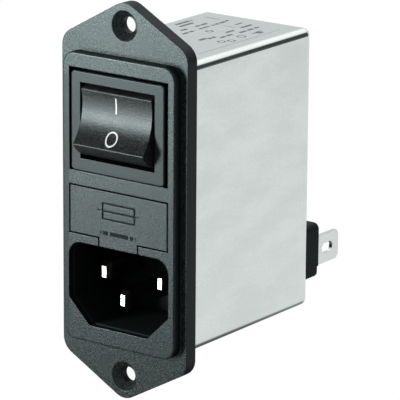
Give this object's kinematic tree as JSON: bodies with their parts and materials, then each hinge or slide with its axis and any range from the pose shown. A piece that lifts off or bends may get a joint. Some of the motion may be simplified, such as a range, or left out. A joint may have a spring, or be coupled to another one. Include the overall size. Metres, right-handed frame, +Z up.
{
  "type": "power entry module with line filter",
  "caption": "Panel-mount mains inlet with a rocker switch, a fuse drawer and a line filter in a metal can, with quick-connect tabs at the rear.",
  "frame": {"origin": "midway between the two fixing screw holes, on the face of the front plate that seats on the panel", "axes": "+Z up from the inlet to the switch, +Y through the panel into the equipment, +X to the right seen from the front"},
  "size_m": [0.031, 0.0648, 0.0812],
  "materials": {
    "black_plastic": "fine-grained moulded black",
    "switch_plastic": "smooth moulded black",
    "rocker_plastic": "satin moulded black",
    "plated_brass": "bright nickel plate",
    "bare_brass": "satin",
    "silver_contact": "satin silver",
    "spring_steel": "satin",
    "can_steel": "satin tin plate",
    "fuse_glass": "clear",
    "board_laminate": "satin solder mask",
    "ferrite": "matt",
    "cream_plastic": "satin",
    "enamelled_wire": "gloss enamel on copper",
    "yellow_plastic": "semi-gloss",
    "blue_plastic": "semi-gloss",
    "resistor_ceramic": "satin",
    "red_plastic": "semi-gloss",
    "insulating_paper": "matt"
  },
  "bodies": {
    "module": {"front_housing": "black_plastic", "line_pin": "plated_brass", "neutral_pin": "plated_brass", "earth_pin": "plated_brass", "switch_body": "switch_plastic", "fixed_rivets": "silver_contact", "fixed_terminals": "plated_brass", "common_terminals": "plated_brass", "supply_clips": "bare_brass", "load_clips": "bare_brass", "filter_can": "can_steel", "circuit_board": "board_laminate", "choke_core": "ferrite", "choke_base": "cream_plastic", "winding_line": "enamelled_wire", "winding_neutral": "enamelled_wire", "x_capacitor": "yellow_plastic", "y_capacitors": "blue_plastic", "bleeder_resistor": "resistor_ceramic", "component_leads": "plated_brass", "wire_cores": "enamelled_wire", "wire_sleeves": "red_plastic", "earth_strap": "plated_brass", "rear_insulator": "insulating_paper", "terminal_block": "black_plastic", "line_tab": "plated_brass", "neutral_tab": "plated_brass", "earth_tab": "plated_brass"},
    "rocker": {"rocker": "rocker_plastic", "plungers": "bare_brass", "plunger_springs": "spring_steel"},
    "line_lever": {"lever_line": "bare_brass", "lever_rivet_line": "silver_contact"},
    "neutral_lever": {"lever_neutral": "bare_brass", "lever_rivet_neutral": "silver_contact"},
    "drawer": {"fuse_drawer": "black_plastic", "fuse_glass": "fuse_glass", "fuse_caps": "plated_brass", "fuse_elements": "plated_brass"}
  },
  "joints": [
    {"name": "rocker_tilt", "type": "hinge", "parent": "module", "child": "rocker", "pos_m": [0, -0.0022, 0.01613], "axis": [1, 0, 0], "range_deg": [0, 28.9]},
    {"name": "line_lever_tilt", "type": "hinge", "parent": "module", "child": "line_lever", "pos_m": [-0.0044, 0.00851, 0.01613], "axis": [1, 0, 0], "range_deg": [-24, 0]},
    {"name": "neutral_lever_tilt", "type": "hinge", "parent": "module", "child": "neutral_lever", "pos_m": [0.0044, 0.00851, 0.01613], "axis": [1, 0, 0], "range_deg": [-24, 0]},
    {"name": "drawer_slide", "type": "slide", "parent": "module", "child": "drawer", "axis": [0, -1, 0], "range_m": [0, 0.03]}
  ],
  "couplings": [
    {"joint": "line_lever_tilt", "follows": "rocker_tilt", "ratio": -0.83},
    {"joint": "neutral_lever_tilt", "follows": "rocker_tilt", "ratio": -0.83}
  ]
}
